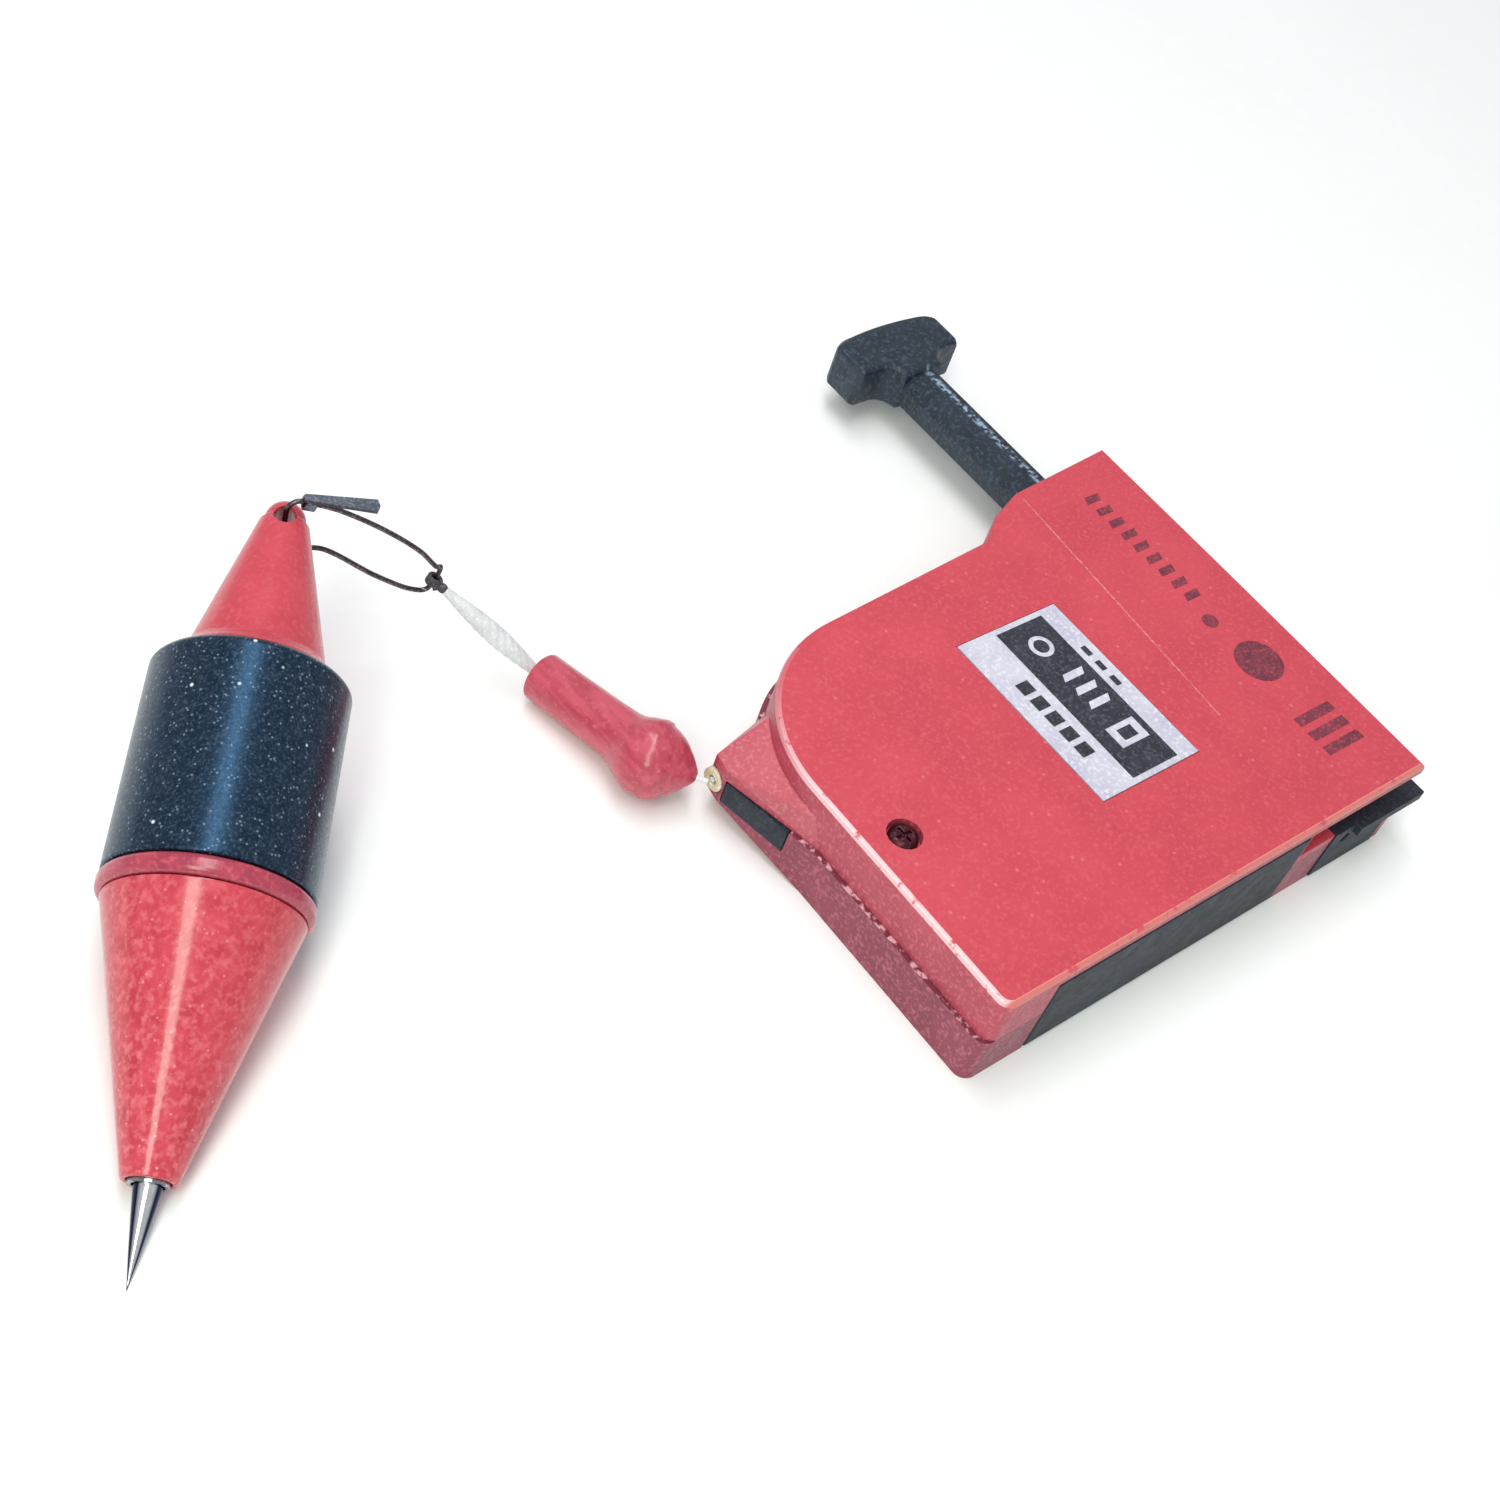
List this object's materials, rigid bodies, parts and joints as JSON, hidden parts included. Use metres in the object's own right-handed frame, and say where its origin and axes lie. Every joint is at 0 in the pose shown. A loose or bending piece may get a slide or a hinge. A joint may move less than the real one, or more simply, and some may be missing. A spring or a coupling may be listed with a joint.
{
  "type": "plumb bob with retracting line case",
  "caption": "Plumb bob on a wire loop, leader and rubber stopper, with a flat magnetic case that holds a retracting line reel and a T-handled needle plunger.",
  "frame": {"origin": "the reel's axis on the flat back of the case", "axes": "+Z out of the flat back through the case's thickness, -Y out of the mounting face, -X the way the line hangs in use"},
  "size_m": [0.2347, 0.1391, 0.0392],
  "materials": {
    "case_red": "satin red, fine grain",
    "case_dark_red": "satin darker red",
    "black_plastic": "satin black",
    "magnet": "sintered",
    "cream_plastic": "smooth",
    "label": null,
    "dark_steel": "oxidised",
    "steel": "polished",
    "line": "braided cord",
    "stopper_rubber": "glossy red rubber",
    "knot": "whipped cord",
    "red_paint": "red enamel",
    "sleeve": "black with fine metal flake"
  },
  "bodies": {
    "case": {"upper_shell": "case_red", "lower_shell": "case_dark_red", "magnet_strip": "black_plastic", "magnet_1": "magnet", "magnet_2": "magnet", "needle_guide": "black_plastic", "line_guide": "black_plastic", "outlet_eyelet": "cream_plastic", "label_plate": "label", "case_screw_top": "dark_steel", "case_screw_back_1": "dark_steel", "case_screw_back_2": "dark_steel", "case_screw_back_3": "dark_steel", "reel_axle": "steel", "line_run": "line"},
    "reel": {"reel_drum": "cream_plastic", "wound_line": "line", "power_spring": "steel"},
    "plunger": {"plunger_handle": "black_plastic", "needle_carrier": "steel", "fixing_needle_1": "steel", "fixing_needle_2": "steel"},
    "line_end": {"line_tail": "line"},
    "stopper": {"line_stopper": "stopper_rubber"},
    "leader": {"leader_cord": "line", "leader_knot": "knot"},
    "loop": {"wire_loop": "dark_steel", "loop_tab": "dark_steel"},
    "bob": {"bob_needle": "steel", "needle_collet": "steel", "lower_cone": "red_paint", "bob_collar": "red_paint", "bob_weight": "steel", "bob_sleeve": "sleeve", "upper_cone": "red_paint"}
  },
  "joints": [
    {"name": "plunger_slide", "type": "slide", "parent": "case", "child": "plunger", "axis": [0, -1, 0], "range_m": [0, 0.03]},
    {"name": "line_swing", "type": "hinge", "parent": "case", "child": "line_end", "pos_m": [-0.0334, 0.0155, 0.0075], "axis": [0, 0, 1], "range_deg": [-10, 81]},
    {"name": "line_payout", "type": "slide", "parent": "line_end", "child": "stopper", "axis": [-0.1601, 0.9871, 0], "range_m": [0, 0.25]},
    {"name": "leader_bend", "type": "hinge", "parent": "stopper", "child": "leader", "pos_m": [-0.0432, 0.0487, 0.0043], "axis": [0, 0, 1], "range_deg": [-31, 5]},
    {"name": "loop_bend", "type": "hinge", "parent": "leader", "child": "loop", "pos_m": [-0.0566, 0.0646, 0.018], "axis": [0, 0, 1], "range_deg": [-31, 5]},
    {"name": "bob_swing", "type": "hinge", "parent": "loop", "child": "bob", "pos_m": [-0.08095, 0.07306, 0.03257], "axis": [0, 0, 1], "range_deg": [-70, 3]},
    {"name": "reel_spin", "type": "hinge", "parent": "case", "child": "reel", "pos_m": [0, 0, 0.01], "axis": [0, 0, 1], "range_deg": [0, 843.6]}
  ],
  "couplings": [
    {"joint": "reel_spin", "follows": "line_payout", "rad_per_m": 58.824}
  ]
}
